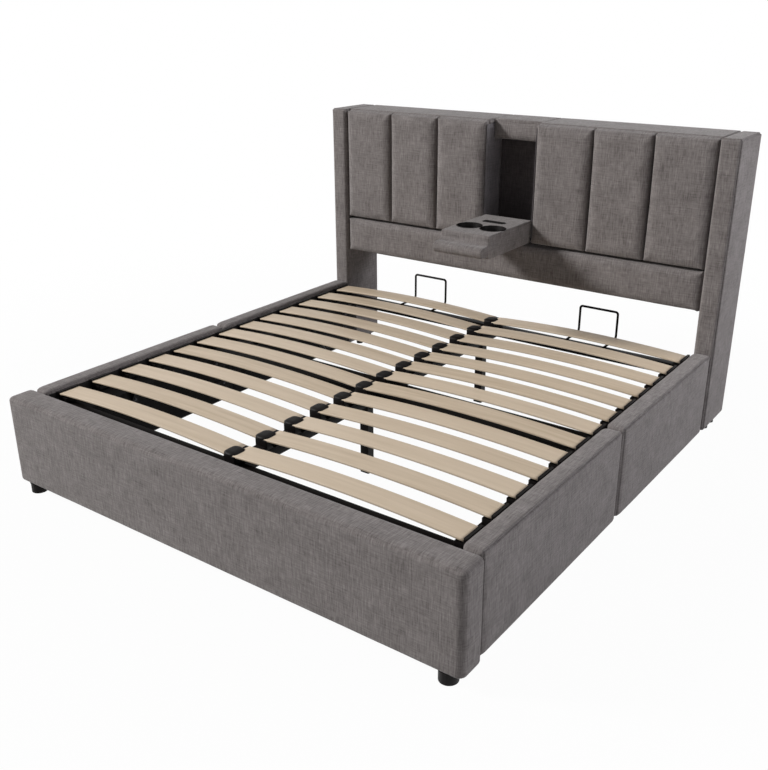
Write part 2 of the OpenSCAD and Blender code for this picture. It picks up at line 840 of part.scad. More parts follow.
// Moulded cups with a low rim that lies on the fabric.
module cup_liners() {
    color(plastic) both_sides() translate([cup_x, cup_y, tray_top]) rotate_extrude($fn = 64) {
        polygon([
            [0, -cup_deep - liner_t], [cup_d / 2, -cup_deep - liner_t], [cup_d / 2, 0], [cup_d / 2 + 3, 0],
            [cup_d / 2 + 3, rim_h * 0.6], [cup_d / 2 + 1.5, rim_h], [cup_d / 2 - liner_t, rim_h],
            [cup_d / 2 - liner_t, -cup_deep], [0, -cup_deep]
        ]);
    }
}

module slot_liner() {
    inner = [slot_l - 2 * liner_t, slot_w - 2 * liner_t];
    color(plastic) translate([-slot_l / 2, slot_y - slot_w / 2, tray_top - slot_deep]) difference() {
        union() {
            linear_extrude(slot_deep) round_rect(slot_l, slot_w, 8);
            translate([-3, -3, slot_deep]) linear_extrude(rim_h) round_rect(slot_l + 6, slot_w + 6, 10);
        }
        translate([liner_t, liner_t, liner_t]) linear_extrude(slot_deep) round_rect(inner[0], inner[1], 6);
    }
}

foot_span = [foot_t, rail_split - seam_gap];
head_span = [rail_split + seam_gap, wing_y];

bed() footboard_core();
bed() footboard_cover();
bed() mirror([1, 0, 0]) rail_core(foot_span[0], foot_span[1]);  // rail_core_left_foot
bed() mirror([1, 0, 0]) rail_cover(foot_span[0], foot_span[1]);  // rail_cover_left_foot
bed() mirror([1, 0, 0]) rail_core(head_span[0], head_span[1]);  // rail_core_left_head
bed() mirror([1, 0, 0]) rail_cover(head_span[0], head_span[1]);  // rail_cover_left_head
bed() rail_core(foot_span[0], foot_span[1]);  // rail_core_right_foot
bed() rail_cover(foot_span[0], foot_span[1]);  // rail_cover_right_foot
bed() rail_core(head_span[0], head_span[1]);  // rail_core_right_head
bed() rail_cover(head_span[0], head_span[1]);  // rail_cover_right_head
bed() rail_joint_plates();
bed() corner_brackets();
bed() rest_brackets();
bed() rest_bumpers();
bed() feet();
bed() mirror([1, 0, 0]) wing_core();  // wing_core_left
bed() mirror([1, 0, 0]) wing_cover();  // wing_cover_left
bed() wing_core();  // wing_core_right
bed() wing_cover();  // wing_cover_right
bed() headboard_front_board();
bed() headboard_back_panel();
bed() headboard_frame();
bed() headboard_top_pad();
bed() channel_pad(-1, 1);  // channel_pad_left_1
bed() channel_pad(-1, 2);  // channel_pad_left_2
bed() channel_pad(-1, 3);  // channel_pad_left_3
bed() channel_pad(1, 1);  // channel_pad_right_1
bed() channel_pad(1, 2);  // channel_pad_right_2
bed() channel_pad(1, 3);  // channel_pad_right_3
bed() lower_pad();
bed() niche_header_pad();
bed() niche_box();
bed() tray_hinge_pins();
bed() lift_hinge_plates();
bed() lift_pivot_bolts();
bed() strut_lower_brackets();
bed() assembly_bolts();
bed() frame_foot_half();
bed() frame_head_half();
bed() centre_beams();
bed() mirror([1, 0, 0]) slats();  // slats_left
bed() slats();  // slats_right
bed() centre_slat_holders();
bed() outer_slat_caps();
bed() centre_legs();
bed() leg_glides();
bed() mattress_stops();
bed() strut_upper_brackets();
bed() frame_bolts();
bed() strut_tube(-1);  // strut_tube_left
bed() strut_tube(1);  // strut_tube_right
bed() strut_rod(-1);  // strut_rod_left
bed() strut_rod(1);  // strut_rod_right
bed() tray_box();
bed() tray_cover();
bed() cup_liners();
bed() slot_liner();
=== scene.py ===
import json
import math

import bmesh
import bpy
import numpy as np
from mathutils import Matrix, Vector, noise

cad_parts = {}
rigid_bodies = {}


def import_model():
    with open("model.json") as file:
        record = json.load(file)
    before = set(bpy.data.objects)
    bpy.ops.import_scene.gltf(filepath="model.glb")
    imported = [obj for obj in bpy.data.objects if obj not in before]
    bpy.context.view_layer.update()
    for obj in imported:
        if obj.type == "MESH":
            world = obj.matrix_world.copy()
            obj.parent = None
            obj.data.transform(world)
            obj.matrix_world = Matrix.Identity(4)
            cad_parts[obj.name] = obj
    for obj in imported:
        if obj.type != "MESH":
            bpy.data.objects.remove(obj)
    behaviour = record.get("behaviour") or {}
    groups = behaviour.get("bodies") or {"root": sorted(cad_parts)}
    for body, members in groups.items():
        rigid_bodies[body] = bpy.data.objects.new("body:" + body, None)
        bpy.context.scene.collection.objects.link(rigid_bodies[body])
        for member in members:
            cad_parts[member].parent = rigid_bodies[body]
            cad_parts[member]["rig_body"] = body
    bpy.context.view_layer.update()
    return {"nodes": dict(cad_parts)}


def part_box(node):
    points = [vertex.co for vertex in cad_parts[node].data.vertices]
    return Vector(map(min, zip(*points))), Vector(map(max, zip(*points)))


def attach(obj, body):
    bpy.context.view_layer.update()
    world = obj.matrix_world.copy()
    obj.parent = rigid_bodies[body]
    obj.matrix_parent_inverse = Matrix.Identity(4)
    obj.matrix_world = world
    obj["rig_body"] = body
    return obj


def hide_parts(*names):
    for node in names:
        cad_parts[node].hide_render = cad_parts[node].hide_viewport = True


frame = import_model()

MM = 0.001
TINY = 1e-9

# Camera, fitted to the straight edges of the bed in the photograph
FOCAL_PX = 937.5
LONG_SIDE_PX = 770
SENSOR = 36.0
FAR_CLIP = 60
CAMERA_AT = Vector((2.14903, -3.0259, 1.84599))
CAMERA_RIGHT = Vector((0.80766, 0.58963, -0.00516))
CAMERA_UP = Vector((-0.22036, 0.30995, 0.92485))
CAMERA_AHEAD = Vector((-0.54692, 0.74583, -0.38027))

# Footboard, rails, wings and top: how far the cloth goes past the solids, rolled edges and crowns, as x, y, z
FOOT_CLOTH_LOW = Vector((6.5, 1.5, 4.0)) * MM
FOOT_CLOTH_HIGH = Vector((6.5, 0.5, 5.0)) * MM
FOOT_ROLLS = (28 * MM, 26 * MM, 17 * MM)
FOOT_CROWN = (1.5 * MM, 2 * MM, 1.5 * MM)
RAIL_OUTSIDE = 5.5 * MM
RAIL_INSIDE = 2.5 * MM
RAIL_ABOVE = 5.5 * MM
RAIL_BELOW = 5 * MM
RAIL_GAP = 4 * MM
RAIL_ROLLS = (24 * MM, 34 * MM, 16 * MM)
RAIL_CROWN = (2.2 * MM, 1.2 * MM, 1.2 * MM)
WING_ROLLS = (17 * MM, 17 * MM, 15 * MM)
WING_CROWN = (1.8 * MM, 1.4 * MM, 1.2 * MM)
TOP_ROLLS = (5 * MM, 8 * MM, 8 * MM)
TOP_CROWN = (0, 0, 1.2 * MM)
CROWN_FLATNESS = 4

# Cloth strips on the side walls of the niche
REVEAL_ROLLS = (0.5 * MM, 0.5 * MM, 0.5 * MM)
REVEAL_THICK = 1.5 * MM

# How far below a board's top the turned-in cloth ends and the black starts, which also paints the shade on
# inner sides, and the least cosine between a side and its faces
LINING_SHADE_DROP = 22 * MM
FACING = 0.9

# Sewn edges: a puckered line drawn in, and a ridge of filling beside it
SEAM_DEPTH = 2.6 * MM
SEAM_WIDTH = 3.4 * MM
RIDGE_HEIGHT = 0.5 * SEAM_DEPTH
RIDGE_AWAY = 2.6 * SEAM_WIDTH
RIDGE_WIDTH = 1.6 * SEAM_WIDTH
PUCKER_MEAN = 0.75
PUCKER_SHARE = 0.55
PUCKER_WAVES = 55.0

# Slack in the cloth: its height, and its waves per metre along x, y and z
BOARD_SLACK = 0.35 * MM
TIGHT_SLACK = 0.05 * MM
BOARD_WAVES = np.array([9.0, 9.0, 5.0])
PAD_SLACK = 0.5 * MM
PAD_WAVES = np.array([11.0, 11.0, 5.0])

# Pads of the headboard: rolled edge, depth of the roll, crown, how far the sides are drawn in, and mesh step
PAD_ROLL = 10 * MM
CHANNEL_PAD = dict(roll=PAD_ROLL, depth=18 * MM, crown=7 * MM, drawn=3.2 * MM, step=12 * MM)
LOWER_PAD = dict(roll=PAD_ROLL, depth=17 * MM, crown=4.5 * MM, drawn=1 * MM, step=12 * MM)
HEADER_PAD = dict(roll=6 * MM, depth=5 * MM, crown=0.8 * MM, drawn=0.2 * MM, step=10 * MM)
PAD_DROP = 8 * MM
HEADER_RISE = 18 * MM
HEADER_FORWARD = 32 * MM
BURIED_SHARE = 0.6
FLATNESS_ACROSS = 2.6
FLATNESS_UP = 8

# Cloth simulation of those pads
CLOTH_FRAMES = 20
STAPLED_STRIP = 0.5 * MM
FRONT_ROOM = 9 * MM
PAD_SWELL = 6 * MM
SIDEWAYS_SHARE = 0.3
CLOTH_SETTINGS = dict(quality=5, mass=0.3, tension_stiffness=12, compression_stiffness=12, shear_stiffness=6,
                      bending_stiffness=0.8, use_pressure=True, uniform_pressure_force=4)

# Where the smooth noise of each cover starts
SEEDS = dict(footboard=1.0, rails=3.0, wings=9.0, channels=20.0, lower_pad=33.0, header=41.0, top=50.0,
             reveals=60.0)
NEXT_CHANNEL = 1.7

# Side outline of the tray, and the wells in its cover
TRAY_HINGE_R = 17 * MM
TRAY_EDGE_R = 10 * MM
TRAY_TOP_R = 3 * MM
TRAY_SIDE_R = 5 * MM
LIP_DEPTH = 70 * MM
LIP_RISE = 13 * MM
LIP_TUCK = 2 * MM
NOSE_R = 25 * MM
SCOOP_R = 20 * MM
SCOOP_STRAIGHT = 6 * MM
TRAY_STEP = 9 * MM
TRAY_STEP_ACROSS = 12 * MM
TRAY_SHARP = 50
WELL_RIM = 3 * MM
WELL_EXTRA = 20 * MM
WELL_RAISE = 9 * MM
WELL_SIDES = 64

# Slats: sizes, how far their middles stand above their solids, mesh counts, and shifts of the grain
SLAT_THICK = 8 * MM
SLAT_EDGE = 2.4 * MM
SLAT_BOW = 17 * MM
SLAT_RISE = 1.5 * MM
SLAT_STATIONS = 41
CORNER_STEPS = 4
GRAIN_SHIFT = 0.9
END_SHIFT = 0.3

# Holders on the centre tubes, with rounds along x, y and z
HOLDER_AROUND = 3 * MM
HOLDER_FOOT_HALF = 16 * MM
HOLDER_FOOT_HIGH = 5 * MM
HOLDER_FOOT_ROUNDS = (3 * MM, 3 * MM, 1.5 * MM)
POCKET_HALF = 28 * MM
POCKET_LIFT = 1 * MM
POCKET_DROP = 5 * MM
POCKET_ROUNDS = (5 * MM, 4 * MM, 4 * MM)
DOME_LEFT = 36 * MM
DOME_RIGHT = 24 * MM
DOME_SHARE = 0.7
DOME_DEEP = 16 * MM
DOME_FORWARD = 1 * MM
DOME_ROUNDS = (24 * MM, 22 * MM, 11 * MM)
STRIP_PAST = 4 * MM
STRIP_DOWN = 6 * MM
STRIP_UP = 9 * MM
STRIP_ROUNDS = (4 * MM, 4 * MM, 4 * MM)

# Rounds on the edges of rigid pieces, and how much thicker the mattress wires are than their solids
TUBE_ROUND = 1.6 * MM
PLATE_ROUND = 0.5 * MM
MOULDED_ROUND = 0.8 * MM
CAP_ROUND = 3 * MM
WIRE_EXTRA = 0.9 * MM
ROUND_ANGLE = 35
FLAT_ANGLE = 1.0
WELD = 0.02 * MM
ISLAND_WELD = 0.05 * MM

# Grids: mesh steps, lines over a rolled end in degrees, and the least gap between lines
BOARD_STEP = 20 * MM
TOP_STEP = 30 * MM
MOULDING_STEP = 30 * MM
ROLL_ANGLES = (45, 41, 36, 28, 19, 10, 0)
LEAST_GAP = 0.7 * MM

# UV maps: the two axes that lie in a side facing x, y or z, and the cloth's shifts between sides and covers
AXES_IN_SIDE = ((1, 2), (0, 2), (0, 1))
SIDE_SHIFT = 0.37
BOARD_SHIFT = 0.6
PAD_SHIFT = 0.7

# Colours as linear values, in the order red, green, blue
CLOTH_LIGHT = (0.266, 0.243, 0.237)
CLOTH_MID = (0.181, 0.162, 0.158)
CLOTH_DARK = (0.095, 0.083, 0.080)
# Cloth of the niche walls: a little darker, flatter and bluer than the main cloth, which paints the shade on
# those walls
REVEAL_LIGHT = (0.24, 0.222, 0.232)
REVEAL_MID = (0.175, 0.162, 0.17)
REVEAL_DARK = (0.11, 0.1, 0.107)
# Dark cloth of the niche box; its tone also paints the shade deep in the niche
NICHE_DARK_AND_SHADE = (0.052, 0.044, 0.045)
# Near-black cloth under the boards and turned in on their inner sides; it also paints the shade on those
# sides and between the headboard's pads
LINING_AND_SHADE_BLACK = (0.0042, 0.0035, 0.0034)
BACK_LIGHT = (0.03, 0.029, 0.028)
BACK_MID = (0.022, 0.021, 0.02)
BACK_DARK = (0.012, 0.012, 0.011)
BIRCH_LIGHT = (0.625, 0.515, 0.395)
BIRCH_MID = (0.55, 0.445, 0.33)
BIRCH_DARK = (0.44, 0.345, 0.24)
BOARD_DARK = (0.20, 0.125, 0.065)
BOARD_LIGHT = (0.44, 0.31, 0.18)
STEEL_BLACK = (0.0044, 0.0036, 0.0035)
PLASTIC_BLACK = (0.0042, 0.0034, 0.0033)
STRUT_BLACK = (0.012, 0.012, 0.013)
ZINC_BLACK = (0.035, 0.035, 0.038)
CHROME_GREY = (0.72, 0.72, 0.73)
FLOOR_GREY = (0.55, 0.55, 0.55, 1)
WHITE = (1, 1, 1, 1)

# Cloth pattern: thread pitch, tones per thread, how long a thread keeps its tone, and slubs as across, up
THREAD = 1.5 * MM
REVEAL_THREAD = 1.0 * MM
LINING_THREAD = 0.9 * MM
TONES_PER_THREAD = 0.42
THREAD_RUN = 34 * MM
SLUB_UP = (5.2 * MM, 75 * MM)
SLUB_OVER = (85 * MM, 5.8 * MM)

# Lamps: name, place, aim, side of the square, watts and colour
LAMPS = (
    ("key", (-14.0, -8.8, 10.5), (0, 0.2, 0.5), 3.6, 4350, (1.0, 0.995, 0.985)),
    ("front", (6.0, -12.0, 4.0), (0, 0, 0.6), 4.0, 130, (1, 1, 1)),
    ("right", (6.0, 0.5, 3.0), (0, 0.3, 0.4), 3.0, 75, (0.95, 0.96, 1.0)),
    ("back", (5.5, 3.5, 3.5), (0, 0.3, 0.4), 3.0, 225, (0.95, 0.96, 1.0)),
)

# White background: the world's strength for other rays, the floor's half width, and where its shade fades out
WORLD_FILL = 0.02
FLOOR_REACH = 30.0
SHADE_FROM = 1.2
SHADE_TO = 4.5
SHADED_WHITE = 0.97


def make_camera():
    data = bpy.data.cameras.new("camera")
    data.sensor_width = SENSOR
    data.lens = FOCAL_PX * SENSOR / LONG_SIDE_PX
    data.clip_end = FAR_CLIP
    camera = bpy.data.objects.new("camera", data)
    turn = Matrix((CAMERA_RIGHT, CAMERA_UP, -CAMERA_AHEAD)).transposed().to_4x4()
    camera.matrix_world = Matrix.Translation(CAMERA_AT) @ turn
    bpy.context.scene.collection.objects.link(camera)
    bpy.context.scene.camera = camera


make_camera()


# Materials

class Nodes:
    """A material under construction: each call adds nodes and returns the output that is wanted."""

    def __init__(self, name):
        self.material = bpy.data.materials.new(name)
        self.material.use_nodes = True
        self.tree = self.material.node_tree
        self.shader = self.tree.nodes["Principled BSDF"]

    @classmethod
    def of_tree(cls, tree):
        """Adds nodes to a tree that is already there, such as the world's."""
        made = cls.__new__(cls)
        made.tree = tree
        return made

    def node(self, kind, inputs=None, **settings):
        made = self.tree.nodes.new(kind)
        for key, value in settings.items():
            setattr(made, key, value)
        for key, value in (inputs or {}).items():
            self.feed(made.inputs[key], value)
        return made

    def feed(self, socket, value):
        """Links an output to an input, or sets the input's own value."""
        if isinstance(value, bpy.types.NodeSocket):
            self.tree.links.new(value, socket)
        else:
            socket.default_value = value

    def math(self, operation, a, b=0.0, clamp=False):
        return self.node("ShaderNodeMath", {0: a, 1: b}, operation=operation, use_clamp=clamp).outputs[0]

    def weighed(self, *parts):
        """The sum of sources, each times its weight."""
        products = [self.math("MULTIPLY", source, weight) for source, weight in parts]
        total = products[0]
        for product in products[1:]:
            total = self.math("ADD", total, product)
        return total

    def varied(self, source, middle, spread):
        """A value that follows noise from 0 to 1 around its middle."""
        return self.math("ADD", self.math("MULTIPLY", source, spread), middle - spread / 2, True)

    def coordinates(self, kind):
        return self.node("ShaderNodeTexCoord").outputs[kind]

    def noise(self, source, scale=1.0, detail=2.0, rough=0.5):
        inputs = {"Vector": source, "Scale": scale, "Detail": detail, "Roughness": rough}
        return self.node("ShaderNodeTexNoise", inputs).outputs[0]

    def streaks(self, source, cycles, detail=2.0, rough=0.5):
        """Noise with its own number of cycles per metre along each axis."""
        stretched = self.node("ShaderNodeMapping", {"Vector": source, "Scale": cycles}).outputs[0]
        return self.noise(stretched, detail=detail, rough=rough)

    def ramp(self, source, *stops):
        made = self.node("ShaderNodeValToRGB", {0: source})
        band = made.color_ramp
        while len(band.elements) < len(stops):
            band.elements.new(0.5)
        for element, (at, colour) in zip(band.elements, stops):
            element.position = at
            element.color = (*colour, 1)
        return made.outputs[0]

    def mix(self, factor, a, b):
        made = self.node("ShaderNodeMix", {0: factor}, data_type="RGBA")
        for key, value in ((6, a), (7, b)):
            self.feed(made.inputs[key], (*value, 1) if isinstance(value, tuple) else value)
        return made.outputs[2]

    def bump(self, height, distance, strength):
        made = self.node("ShaderNodeBump", {"Height": height, "Distance": distance, "Strength": strength})
        self.tree.links.new(made.outputs[0], self.shader.inputs["Normal"])

    def finish(self, colour=None, rough=None, **fixed):
        if colour is not None:
            self.tree.links.new(colour, self.shader.inputs["Base Color"])
        if rough is not None:
            self.tree.links.new(rough, self.shader.inputs["Roughness"])
        for key, value in fixed.items():
            self.shader.inputs[key.replace("_", " ")].default_value = value
        return self.material


def times(colour, factor):
    return tuple(c * factor for c in colour)


def woven_cloth(name, light, mid, dark, thread=THREAD):
    """Linen-look plain weave on a UV map in metres: slubbed threads both ways, and a faint mottling."""
    n = Nodes(name)
    uv = n.coordinates("UV")
    across, along = TONES_PER_THREAD / thread, 1 / THREAD_RUN
    warp = n.streaks(uv, (across, along, 1), detail=3.0, rough=0.62)
    weft = n.streaks(uv, (along, across, 1), detail=3.0, rough=0.62)
    slub_up = n.streaks(uv, (1 / SLUB_UP[0], 1 / SLUB_UP[1], 1), rough=0.6)
    slub_over = n.streaks(uv, (1 / SLUB_OVER[0], 1 / SLUB_OVER[1], 1), rough=0.6)
    mottling = n.math("SUBTRACT", n.noise(uv, 9.0, 3.0, 0.55), 0.5)
    threads = n.weighed((warp, 0.62), (weft, 0.38))
    slubs = n.weighed((slub_up, 0.6), (slub_over, 0.4))
    tone = n.weighed((threads, 0.5), (slubs, 0.5), (mottling, 0.16))
    colour = n.ramp(tone, (0.37, dark), (0.5, mid), (0.63, light))
    parts = n.node("ShaderNodeSeparateXYZ", {0: uv}).outputs
    turn = 2 * math.pi / thread
    up = n.math("SINE", n.math("MULTIPLY", parts[0], turn))
    over = n.math("SINE", n.math("MULTIPLY", parts[1], turn))
    weave = n.math("MULTIPLY", up, over)
    n.bump(n.weighed((weave, 0.22), (tone, 1.6)), 0.9 * MM, 0.55)
    rough = n.varied(tone, 0.88, -0.2)
    return n.finish(colour, rough, Specular_IOR_Level=0.18, Sheen_Weight=0.16, Sheen_Roughness=0.5)


def birch(name):
    """Pale laminated birch on a UV map in metres: U runs along the grain, V goes round the slat.

    The whole metres in V number the slats, so that each has its own tone and grain.
    """
    n = Nodes(name)
    uv = n.coordinates("UV")
    row = n.math("FLOOR", n.node("ShaderNodeSeparateXYZ", {0: uv}).outputs[1])
    board = n.node("ShaderNodeTexWhiteNoise", {"W": row}, noise_dimensions="1D").outputs[0]
    shift = n.node("ShaderNodeCombineXYZ", {0: board, 1: board}).outputs[0]
    shifted = n.node("ShaderNodeVectorMath", {0: uv, 1: shift}, operation="ADD").outputs[0]
    broad = n.streaks(shifted, (2.6, 46, 1), detail=3.0, rough=0.55)
    fine = n.streaks(shifted, (14, 620, 1), rough=0.6)
    pores = n.streaks(shifted, (60, 1500, 1), detail=1.0)
    tone = n.weighed((broad, 0.62), (fine, 0.28), (board, 0.16))
    colour = n.ramp(tone, (0.28, BIRCH_DARK), (0.5, BIRCH_MID), (0.76, BIRCH_LIGHT))
    flecks = n.math("GREATER_THAN", pores, 0.69)
    colour = n.mix(n.math("MULTIPLY", flecks, 0.22), colour, BIRCH_DARK)
    n.bump(n.math("ADD", fine, n.math("MULTIPLY", flecks, -0.6)), 0.12 * MM, 0.5)
    rough = n.varied(fine, 0.52, 0.2)
    return n.finish(colour, rough, Specular_IOR_Level=0.35, Coat_Weight=0.12, Coat_Roughness=0.35)


def raw_board(name):
    """Unfinished plywood or softwood, by place, with fine streaks."""
    n = Nodes(name)
    streak = n.streaks(n.coordinates("Object"), (3, 3, 90), detail=4.0, rough=0.6)
    n.bump(streak, 0.3 * MM, 0.5)
    return n.finish(n.ramp(streak, (0.3, BOARD_DARK), (0.7, BOARD_LIGHT)), Roughness=0.8)


def powder_coat(name, colour, rough):
    """Black powder coat: a fine orange peel, and a cloudy tone and gloss."""
    n = Nodes(name)
    place = n.coordinates("Object")
    cloud = n.noise(place, 14.0, 3.0, 0.5)
    n.bump(n.noise(place, 900.0, 2.0, 0.6), 0.10 * MM, 0.5)
    tone = n.mix(cloud, colour, times(colour, 1.9))
    return n.finish(tone, n.varied(cloud, rough, 0.18), Specular_IOR_Level=0.06)


def moulded_plastic(name, colour):
    """Black moulded plastic with a fine spark-eroded grain."""
    n = Nodes(name)
    place = n.coordinates("Object")
    grain = n.noise(place, 1500.0, 2.0, 0.6)
    cloud = n.noise(place, 30.0, 2.0, 0.5)
    n.bump(grain, 0.08 * MM, 0.6)
    tone = n.mix(cloud, colour, times(colour, 1.8))
    return n.finish(tone, n.varied(grain, 0.5, 0.2), Specular_IOR_Level=0.09)


def plated_metal(name, colour, rough):
    """Zinc or chrome plate with a faint spangle."""
    n = Nodes(name)
    spangle = n.noise(n.coordinates("Object"), 260.0, 3.0, 0.6)
    n.bump(spangle, 0.05 * MM, 0.4)
    tone = n.mix(spangle, times(colour, 0.8), colour)
    return n.finish(tone, n.varied(spangle, rough, 0.2), Metallic=1.0)


CLOTH = woven_cloth("woven_grey_cloth", CLOTH_LIGHT, CLOTH_MID, CLOTH_DARK)
REVEAL_SHADED_CLOTH = woven_cloth("reveal_cloth_painted_shade", REVEAL_LIGHT, REVEAL_MID, REVEAL_DARK, REVEAL_THREAD)
NICHE_DARK_AND_SHADE_CLOTH = woven_cloth("dark_niche_cloth_and_shade", times(NICHE_DARK_AND_SHADE, 1.5), NICHE_DARK_AND_SHADE, times(NICHE_DARK_AND_SHADE, 0.6))
# Black under lining, which also paints shade on inner sides and in the gaps between pads
LINING_AND_SHADE_CLOTH = woven_cloth("black_lining_and_painted_shade", times(LINING_AND_SHADE_BLACK, 1.4), LINING_AND_SHADE_BLACK,
                          times(LINING_AND_SHADE_BLACK, 0.6), LINING_THREAD)
BACK_CLOTH = woven_cloth("black_back_cloth", BACK_LIGHT, BACK_MID, BACK_DARK, LINING_THREAD)
BIRCH = birch("lacquered_birch")
BOARD = raw_board("raw_board")
STEEL = powder_coat("black_powder_coat", STEEL_BLACK, 0.46)
STRUT_PAINT = powder_coat("strut_paint", STRUT_BLACK, 0.3)
PLASTIC = moulded_plastic("black_moulded_plastic", PLASTIC_BLACK)
BLACK_ZINC = plated_metal("black_zinc", ZINC_BLACK, 0.4)
CHROME = plated_metal("hard_chrome", CHROME_GREY, 0.14)


# Meshes

def new_piece(name, points, faces, uvs, material, body, stands_for):
    """A mesh object from arrays, with a UV map in metres, that rides on a body."""
    mesh = bpy.data.meshes.new(name)
    mesh.from_pydata([tuple(map(float, p)) for p in points], [], [tuple(map(int, f)) for f in faces])
    if uvs is not None:
        layer = mesh.uv_layers.new(name="metres")
        layer.data.foreach_set("uv", np.asarray(uvs, np.float32).ravel())
    mesh.materials.append(material)
    mesh.polygons.foreach_set("use_smooth", [True] * len(mesh.polygons))
    mesh.validate()
    made = bpy.data.objects.new(name, mesh)
    bpy.context.scene.collection.objects.link(made)
    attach(made, body)
    if stands_for:
        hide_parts(*stands_for)
    return made


def box_uv(piece):
    """Maps each face flat along the axis that it faces most, in metres."""
    mesh = piece.data
    layer = mesh.uv_layers.get("metres") or mesh.uv_layers.new(name="metres")
    for face in mesh.polygons:
        n = face.normal
        axis = max(range(3), key=lambda i: abs(n[i]))
        a, b = AXES_IN_SIDE[axis]
        for loop in face.loop_indices:
            p = mesh.vertices[mesh.loops[loop].vertex_index].co
            layer.data[loop].uv = (p[a], p[b])


def grid_lines(lo, hi, roll, step):
    """Places of grid lines along one side, close together over the rolled ends."""
    ends = [roll * (1 - math.tan(math.radians(a))) for a in ROLL_ANGLES]
    lines = [lo + e for e in ends] + [hi - e for e in ends]
    inner = hi - lo - 2 * roll
    count = max(2, round(inner / step))
    lines += [lo + roll + inner * i / count for i in range(1, count)]
    kept = [lo]
    for line in sorted(l for l in lines if lo <= l <= hi):
        if line - kept[-1] > LEAST_GAP and hi - line > LEAST_GAP:
            kept.append(line)
    return np.array(kept + [hi])


def grid_box(lines):
    """Points and quads over the six sides of a grid. Each quad keeps the axis that its side faces."""
    index, points, quads, axes = {}, [], [], []

    def point(key):
        if key not in index:
            index[key] = len(points)
            points.append([lines[a][key[a]] for a in range(3)])
        return index[key]

    last = [len(l) - 1 for l in lines]
    for axis in range(3):
        a, b = (axis + 1) % 3, (axis + 2) % 3
        for end in (0, last[axis]):
            for i in range(last[a]):
                for j in range(last[b]):
                    corner = []
                    for di, dj in ((0, 0), (1, 0), (1, 1), (0, 1)):
                        key = [0, 0, 0]
                        key[axis], key[a], key[b] = end, i + di, j + dj
                        corner.append(point(tuple(key)))
                    quads.append(corner if end else corner[::-1])
                    axes.append(axis)
    return np.array(points), quads, axes


def grid_uv(points, quads, axes, shift):
    """UV map of a grid box in metres, before it is rolled, so that threads run square to its sides."""
    uvs = []
    for quad, axis in zip(quads, axes):
        a, b = AXES_IN_SIDE[axis]
        for v in quad:
            uvs.append((points[v][a] + shift[0], points[v][b] + shift[1] + axis * SIDE_SHIFT))
    return uvs


def rolled(points, lo, hi, roll):
    """Rounds a grid box's edges by a roll per axis, and gives the outward direction at each point."""
    core = np.clip(points, lo + roll, hi - roll)
    out = (points - core) / roll
    out /= np.maximum(np.linalg.norm(out, axis=1, keepdims=True), TINY)
    normal = out / roll
    normal /= np.linalg.norm(normal, axis=1, keepdims=True)
    return core + out * roll, normal


def ripple(points, waves, seed):
    """Smooth noise from -1 to 1 at each point, the same on every run."""
    at = Vector((seed * 3.7, seed * 1.3, seed * 2.1))
    return np.array([noise.noise(Vector(p * waves) + at) for p in points])


def crowned(plain, out, lo, hi, crown):
    """How far a board's sides swell at each point: most in a side's middle, and not at its edges."""
    share = (plain - (lo + hi) / 2) / ((hi - lo) / 2)
    swell = np.zeros(len(plain))
    for axis in range(3):
        a, b = (axis + 1) % 3, (axis + 2) % 3
        flat = (1 - share[:, a] ** CROWN_FLATNESS) * (1 - share[:, b] ** CROWN_FLATNESS)
        swell += crown[axis] * out[:, axis] ** 2 * flat
    return swell


def sewn(points, plain, lo, hi, seams, seed):
    """How far sewn edges move each point: in at the puckered seam, and out at the ridge beside it.

    seams lists sewn edges as (axis, side, axis, side), with side 0 for low and 1 for high.
    """
    moved = np.zeros(len(points))
    for axis, side, other, far in seams:
        edge = [hi[axis] if side else lo[axis], hi[other] if far else lo[other]]
        away = np.hypot(plain[:, axis] - edge[0], plain[:, other] - edge[1])
        pucker = PUCKER_MEAN + PUCKER_SHARE * ripple(points, PUCKER_WAVES, seed + 5)
        moved -= SEAM_DEPTH * pucker * np.exp(-(away / SEAM_WIDTH) ** 2)
        moved += RIDGE_HEIGHT * np.exp(-((away - RIDGE_AWAY) / RIDGE_WIDTH) ** 2)
    return moved


def line_and_shade_hidden_sides(cover, top, lined_shaded_sides):
    """Shows the black under lining below, and on the given sides below the turned-in cloth, where the black
    also paints the shade on those inner sides.

    The sides are listed as (axis, side), with side 0 for low and 1 for high.
    """
    cover.data.materials.append(LINING_AND_SHADE_CLOTH)
    for face in cover.data.polygons:
        inside = any(face.normal[axis] * (1 if side else -1) > FACING for axis, side in lined_shaded_sides)
        if face.normal[2] < -FACING or (inside and face.center[2] < top - LINING_SHADE_DROP):
            face.material_index = 1


def soft_board(name, lo, hi, roll, nodes, seed, step=BOARD_STEP, crown=(0, 0, 0), seams=(), lined_shaded_sides=(),
               tight=False):
    """A padded board: rolled edges, crowned sides, sewn edges with puckers, and slack in the cloth.

    A tight board is thin cloth glued down, with no filling.
    """
    lo, hi, roll = np.array(lo), np.array(hi), np.array(roll, float)
    plain, quads, axes = grid_box([grid_lines(lo[a], hi[a], roll[a], step) for a in range(3)])
    points, out = rolled(plain, lo, hi, roll)
    swell = crowned(plain, out, lo, hi, crown)
    swell += (TIGHT_SLACK if tight else BOARD_SLACK) * ripple(points, BOARD_WAVES, seed)
    swell += sewn(points, plain, lo, hi, seams, seed)
    points = points + out * swell[:, None]
    uvs = grid_uv(plain, quads, axes, (seed, seed * BOARD_SHIFT))
    made = new_piece(name, points, quads, uvs, CLOTH, "base", nodes)
    line_and_shade_hidden_sides(made, hi[2], lined_shaded_sides)
    return made


